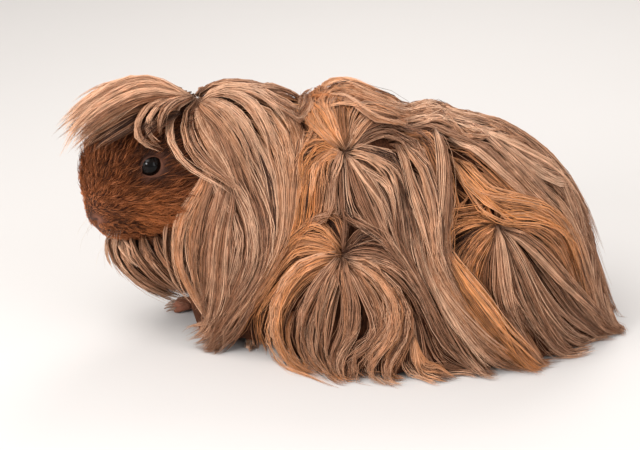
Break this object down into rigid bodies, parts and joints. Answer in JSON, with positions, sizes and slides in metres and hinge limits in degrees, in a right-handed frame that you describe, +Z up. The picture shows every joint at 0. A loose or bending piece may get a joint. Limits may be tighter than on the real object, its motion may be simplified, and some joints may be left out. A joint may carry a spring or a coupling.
{
  "type": "long-haired guinea pig",
  "caption": "Still, life-size guinea pig with a long rosetted coat, standing on the floor with its head lowered and turned a little to its left.",
  "frame": {"origin": "on the floor, under the middle of the coat's outline", "axes": "+X towards the rump, -X towards the head, -Y towards the animal's left side, +Z up"},
  "size_m": [0.2797, 0.1556, 0.132],
  "materials": {
    "long_coat": "long, soft, wavy hair in mauve brown with golden orange locks round the whorls",
    "face_fur": "short, dense chocolate brown fur",
    "bare_skin": "soft pinkish brown skin with fine creases and thin hair",
    "eye": "wet, very dark brown eye"
  },
  "bodies": {
    "root": {"head": "face_fur", "eye_left": "eye", "eye_right": "eye", "ear_left": "bare_skin", "ear_right": "bare_skin", "neck": "face_fur", "trunk": "face_fur", "fore_left_leg": "face_fur", "fore_right_leg": "face_fur", "hind_left_leg": "face_fur", "hind_right_leg": "face_fur", "fore_left_foot": "bare_skin", "fore_right_foot": "bare_skin", "hind_left_foot": "bare_skin", "hind_right_foot": "bare_skin", "forelock": "long_coat", "beard": "long_coat", "mane_left": "long_coat", "mane_right": "long_coat", "rosette_upper_left": "long_coat", "rosette_upper_right": "long_coat", "rosette_lower_left": "long_coat", "rosette_lower_right": "long_coat", "side_lock_left": "long_coat", "side_lock_right": "long_coat", "rosette_hip_left": "long_coat", "rosette_hip_right": "long_coat", "rump_coat_left": "long_coat", "rump_coat_right": "long_coat"}
  },
  "joints": []
}
